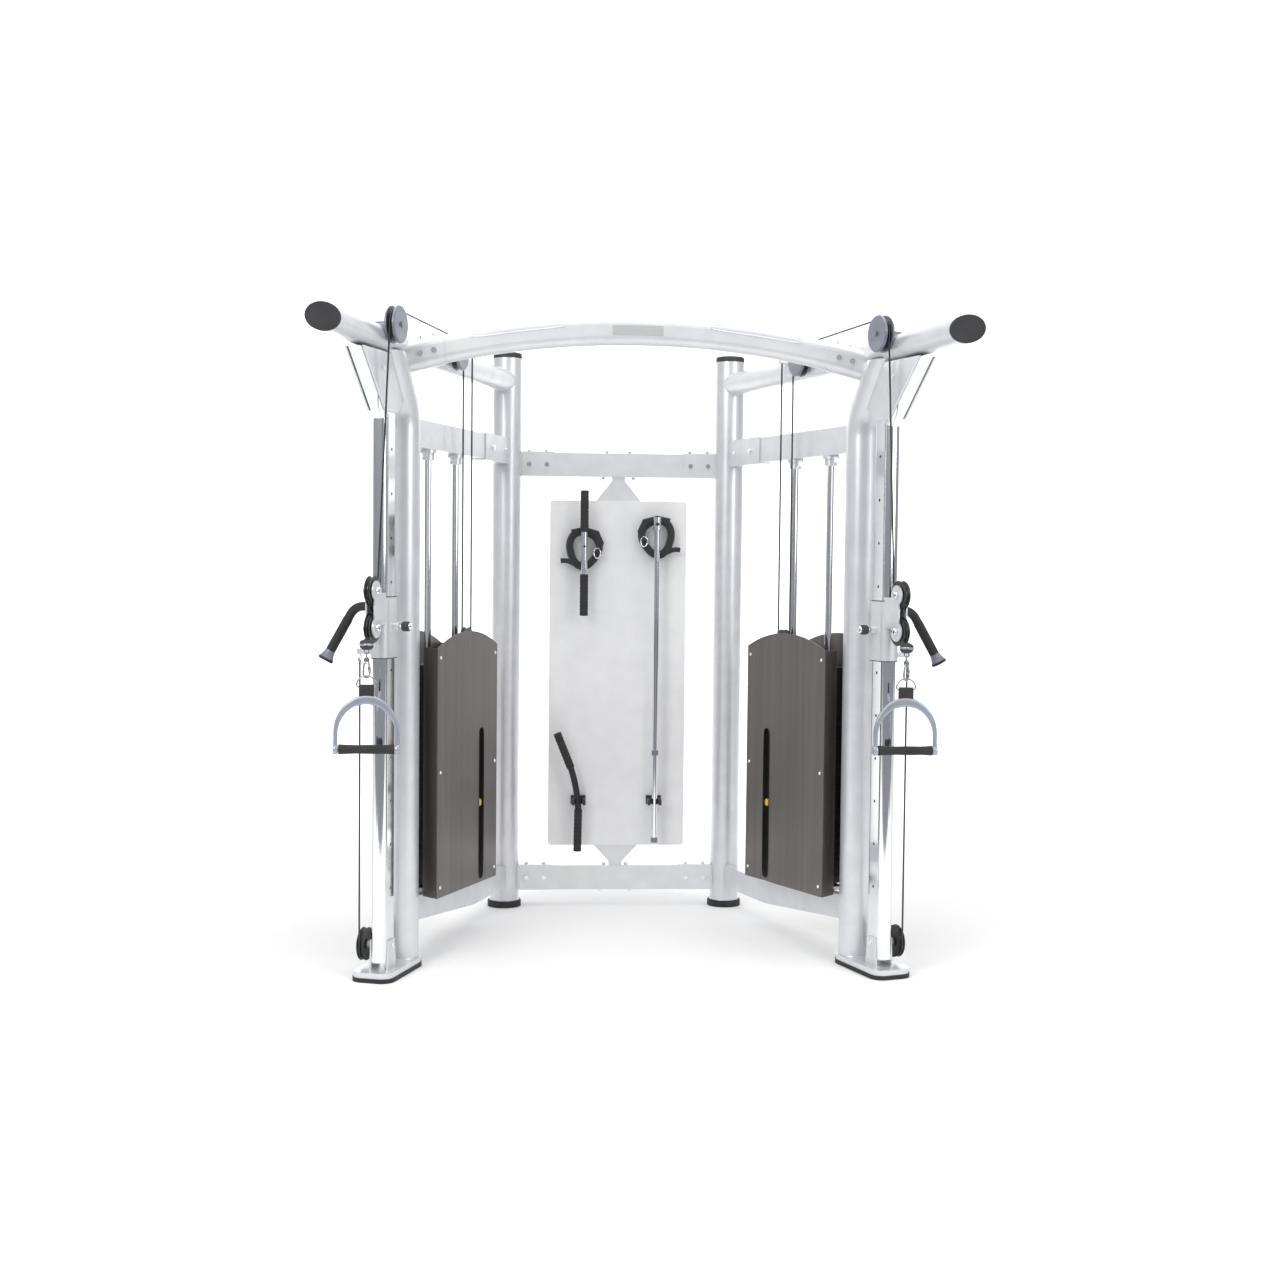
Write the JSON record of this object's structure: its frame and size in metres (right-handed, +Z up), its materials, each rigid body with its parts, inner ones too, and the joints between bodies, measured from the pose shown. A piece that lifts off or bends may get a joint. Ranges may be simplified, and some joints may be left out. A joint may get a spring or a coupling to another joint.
{
  "type": "cable crossover machine",
  "caption": "Two angled wings with weight stacks, sliding pulley carriages and D-handles, joined by an arched top bar and a rear accessory panel.",
  "frame": {"origin": "on the floor at the middle of the footprint", "axes": "+Z up, +Y towards the accessory panel at the back, +X to the right of a person who faces the panel"},
  "size_m": [2.102, 1.7002, 2.2125],
  "materials": {
    "silver_paint": "satin metallic",
    "white_silver_paint": "satin metallic",
    "chrome": "polished",
    "black_rubber": "matt",
    "black_plastic": "textured",
    "bronze_sheet": "brushed",
    "cover_grey": "satin",
    "black_steel": "satin",
    "black_fabric": "woven",
    "cable_black": "smooth",
    "black_nylon": "satin",
    "yellow_plastic": "gloss",
    "bow_aluminium": "satin"
  },
  "bodies": {
    "root": {"accessory_hooks": "black_plastic", "accessory_panel": "white_silver_paint", "arch_crossbar": "white_silver_paint", "crossbar_brackets": "white_silver_paint", "end_caps": "black_plastic", "fixed_cables": "cable_black", "foot_plates": "silver_paint", "frame_bolts": "chrome", "front_posts": "silver_paint", "guide_brackets": "silver_paint", "guide_rods": "chrome", "guide_tubes": "chrome", "left_lift_cable": "cable_black", "left_lower_cable": "cable_black", "left_upper_cable": "cable_black", "lower_braces": "silver_paint", "lower_weight_plates": "black_steel", "middle_braces": "silver_paint", "pulley_covers": "cover_grey", "rear_crossbars": "white_silver_paint", "rear_posts": "silver_paint", "right_lift_cable": "cable_black", "right_lower_cable": "cable_black", "right_upper_cable": "cable_black", "rubber_feet": "black_rubber", "shrouds": "bronze_sheet", "top_braces": "silver_paint"},
    "left_carriage_body": {"left_carriage": "silver_paint", "left_adjust_lever": "black_rubber"},
    "left_pop_pin_body": {"left_pop_pin": "black_plastic"},
    "left_stack_body": {"left_lifted_plates": "black_steel"},
    "left_selector_body": {"left_selector_pin": "yellow_plastic"},
    "left_handle_body": {"left_handle_hook": "chrome", "left_handle_bow": "bow_aluminium"},
    "left_grip_body": {"left_handle_grip": "black_rubber"},
    "left_top_front_pulley_body": {"left_top_front_pulley": "black_nylon"},
    "left_top_rear_pulley_body": {"left_top_rear_pulley": "black_nylon"},
    "left_carriage_upper_pulley_body": {"left_carriage_upper_pulley": "black_nylon"},
    "left_carriage_lower_pulley_body": {"left_carriage_lower_pulley": "black_nylon"},
    "left_base_pulley_body": {"left_base_pulley": "black_nylon"},
    "left_stack_pulley_body": {"left_stack_pulley": "black_nylon"},
    "right_carriage_body": {"right_carriage": "silver_paint", "right_adjust_lever": "black_rubber"},
    "right_pop_pin_body": {"right_pop_pin": "black_plastic"},
    "right_stack_body": {"right_lifted_plates": "black_steel"},
    "right_selector_body": {"right_selector_pin": "yellow_plastic"},
    "right_handle_body": {"right_handle_hook": "chrome", "right_handle_bow": "bow_aluminium"},
    "right_grip_body": {"right_handle_grip": "black_rubber"},
    "right_top_front_pulley_body": {"right_top_front_pulley": "black_nylon"},
    "right_top_rear_pulley_body": {"right_top_rear_pulley": "black_nylon"},
    "right_carriage_upper_pulley_body": {"right_carriage_upper_pulley": "black_nylon"},
    "right_carriage_lower_pulley_body": {"right_carriage_lower_pulley": "black_nylon"},
    "right_base_pulley_body": {"right_base_pulley": "black_nylon"},
    "right_stack_pulley_body": {"right_stack_pulley": "black_nylon"},
    "straight_bar_body": {"straight_bar": "black_steel", "left_ankle_strap": "black_fabric"},
    "long_bar_body": {"long_bar": "chrome", "right_ankle_strap": "black_fabric"},
    "bent_bar_body": {"bent_bar": "black_steel"}
  },
  "joints": [
    {"name": "left_carriage_slide", "type": "slide", "parent": "root", "child": "left_carriage_body", "axis": [0, 0, 1], "range_m": [-0.7, 0.5], "deforming": ["left_upper_cable", "left_lower_cable"]},
    {"name": "left_pop_pin_pull", "type": "slide", "parent": "left_carriage_body", "child": "left_pop_pin_body", "axis": [0.9482, -0.3176, 0], "range_m": [0, 0.016], "stiffness_N_per_m": 900},
    {"name": "left_stack_lift", "type": "slide", "parent": "root", "child": "left_stack_body", "axis": [0, 0, 1], "range_m": [0, 0.24], "deforming": ["left_lift_cable"]},
    {"name": "left_selector_pull", "type": "slide", "parent": "left_stack_body", "child": "left_selector_body", "axis": [0.9482, -0.3176, 0], "range_m": [0, 0.07]},
    {"name": "left_handle_pull", "type": "slide", "parent": "left_carriage_body", "child": "left_handle_body", "axis": [0, 0, -1], "range_m": [0, 0.48]},
    {"name": "left_grip_spin", "type": "hinge", "parent": "left_handle_body", "child": "left_grip_body", "pos_m": [-0.87893, -0.55888, 0.778], "axis": [1, 0, 0], "continuous": true},
    {"name": "left_top_front_pulley_spin", "type": "hinge", "parent": "root", "child": "left_top_front_pulley_body", "pos_m": [-0.795, -0.47205, 2.15], "axis": [0.9482, -0.3176, 0], "continuous": true},
    {"name": "left_top_rear_pulley_spin", "type": "hinge", "parent": "root", "child": "left_top_rear_pulley_body", "pos_m": [-0.61332, 0.07033, 2.125], "axis": [0.9482, -0.3176, 0], "continuous": true},
    {"name": "left_carriage_upper_pulley_spin", "type": "hinge", "parent": "left_carriage_body", "child": "left_carriage_upper_pulley_body", "pos_m": [-0.86527, -0.51811, 1.288], "axis": [0.9482, -0.3176, 0], "continuous": true},
    {"name": "left_carriage_lower_pulley_spin", "type": "hinge", "parent": "left_carriage_body", "child": "left_carriage_lower_pulley_body", "pos_m": [-0.86527, -0.51811, 1.168], "axis": [0.9482, -0.3176, 0], "continuous": true},
    {"name": "left_base_pulley_spin", "type": "hinge", "parent": "root", "child": "left_base_pulley_body", "pos_m": [-0.89762, -0.36912, 0.104], "axis": [0.9482, -0.3176, 0], "continuous": true},
    {"name": "left_stack_pulley_spin", "type": "hinge", "parent": "left_stack_body", "child": "left_stack_pulley_body", "pos_m": [-0.58314, 0.16041, 1.096], "axis": [0.9482, -0.3176, 0], "continuous": true},
    {"name": "right_carriage_slide", "type": "slide", "parent": "root", "child": "right_carriage_body", "axis": [0, 0, 1], "range_m": [-0.7, 0.5], "deforming": ["right_upper_cable", "right_lower_cable"]},
    {"name": "right_pop_pin_pull", "type": "slide", "parent": "right_carriage_body", "child": "right_pop_pin_body", "axis": [-0.9482, -0.3176, 0], "range_m": [0, 0.016], "stiffness_N_per_m": 900},
    {"name": "right_stack_lift", "type": "slide", "parent": "root", "child": "right_stack_body", "axis": [0, 0, 1], "range_m": [0, 0.24], "deforming": ["right_lift_cable"]},
    {"name": "right_selector_pull", "type": "slide", "parent": "right_stack_body", "child": "right_selector_body", "axis": [-0.9482, -0.3176, 0], "range_m": [0, 0.07]},
    {"name": "right_handle_pull", "type": "slide", "parent": "right_carriage_body", "child": "right_handle_body", "axis": [0, 0, -1], "range_m": [0, 0.48]},
    {"name": "right_grip_spin", "type": "hinge", "parent": "right_handle_body", "child": "right_grip_body", "pos_m": [0.87893, -0.55888, 0.778], "axis": [1, 0, 0], "continuous": true},
    {"name": "right_top_front_pulley_spin", "type": "hinge", "parent": "root", "child": "right_top_front_pulley_body", "pos_m": [0.795, -0.47205, 2.15], "axis": [-0.9482, -0.3176, 0], "continuous": true},
    {"name": "right_top_rear_pulley_spin", "type": "hinge", "parent": "root", "child": "right_top_rear_pulley_body", "pos_m": [0.61332, 0.07033, 2.125], "axis": [-0.9482, -0.3176, 0], "continuous": true},
    {"name": "right_carriage_upper_pulley_spin", "type": "hinge", "parent": "right_carriage_body", "child": "right_carriage_upper_pulley_body", "pos_m": [0.86527, -0.51811, 1.288], "axis": [-0.9482, -0.3176, 0], "continuous": true},
    {"name": "right_carriage_lower_pulley_spin", "type": "hinge", "parent": "right_carriage_body", "child": "right_carriage_lower_pulley_body", "pos_m": [0.86527, -0.51811, 1.168], "axis": [-0.9482, -0.3176, 0], "continuous": true},
    {"name": "right_base_pulley_spin", "type": "hinge", "parent": "root", "child": "right_base_pulley_body", "pos_m": [0.89762, -0.36912, 0.104], "axis": [-0.9482, -0.3176, 0], "continuous": true},
    {"name": "right_stack_pulley_spin", "type": "hinge", "parent": "right_stack_body", "child": "right_stack_pulley_body", "pos_m": [0.58314, 0.16041, 1.096], "axis": [-0.9482, -0.3176, 0], "continuous": true},
    {"name": "straight_bar_lift_off", "type": "slide", "parent": "root", "child": "straight_bar_body", "axis": [0, -1, 0], "range_m": [0, 0.12]},
    {"name": "long_bar_lift_off", "type": "slide", "parent": "root", "child": "long_bar_body", "axis": [0, -1, 0], "range_m": [0, 0.12]},
    {"name": "bent_bar_lift_off", "type": "slide", "parent": "root", "child": "bent_bar_body", "axis": [0, -1, 0], "range_m": [0, 0.12]}
  ],
  "couplings": [
    {"joint": "left_handle_pull", "follows": "left_stack_lift", "ratio": 2},
    {"joint": "left_top_front_pulley_spin", "follows": "left_stack_lift", "rad_per_m": 40},
    {"joint": "left_top_rear_pulley_spin", "follows": "left_stack_lift", "rad_per_m": 40},
    {"joint": "left_carriage_upper_pulley_spin", "follows": "left_stack_lift", "rad_per_m": 46.5},
    {"joint": "left_carriage_lower_pulley_spin", "follows": "left_stack_lift", "rad_per_m": 46.5},
    {"joint": "left_base_pulley_spin", "follows": "left_carriage_slide", "rad_per_m": 20},
    {"joint": "left_stack_pulley_spin", "follows": "left_stack_lift", "rad_per_m": 22.2},
    {"joint": "right_handle_pull", "follows": "right_stack_lift", "ratio": 2},
    {"joint": "right_top_front_pulley_spin", "follows": "right_stack_lift", "rad_per_m": 40},
    {"joint": "right_top_rear_pulley_spin", "follows": "right_stack_lift", "rad_per_m": 40},
    {"joint": "right_carriage_upper_pulley_spin", "follows": "right_stack_lift", "rad_per_m": 46.5},
    {"joint": "right_carriage_lower_pulley_spin", "follows": "right_stack_lift", "rad_per_m": 46.5},
    {"joint": "right_base_pulley_spin", "follows": "right_carriage_slide", "rad_per_m": 20},
    {"joint": "right_stack_pulley_spin", "follows": "right_stack_lift", "rad_per_m": 22.2}
  ]
}
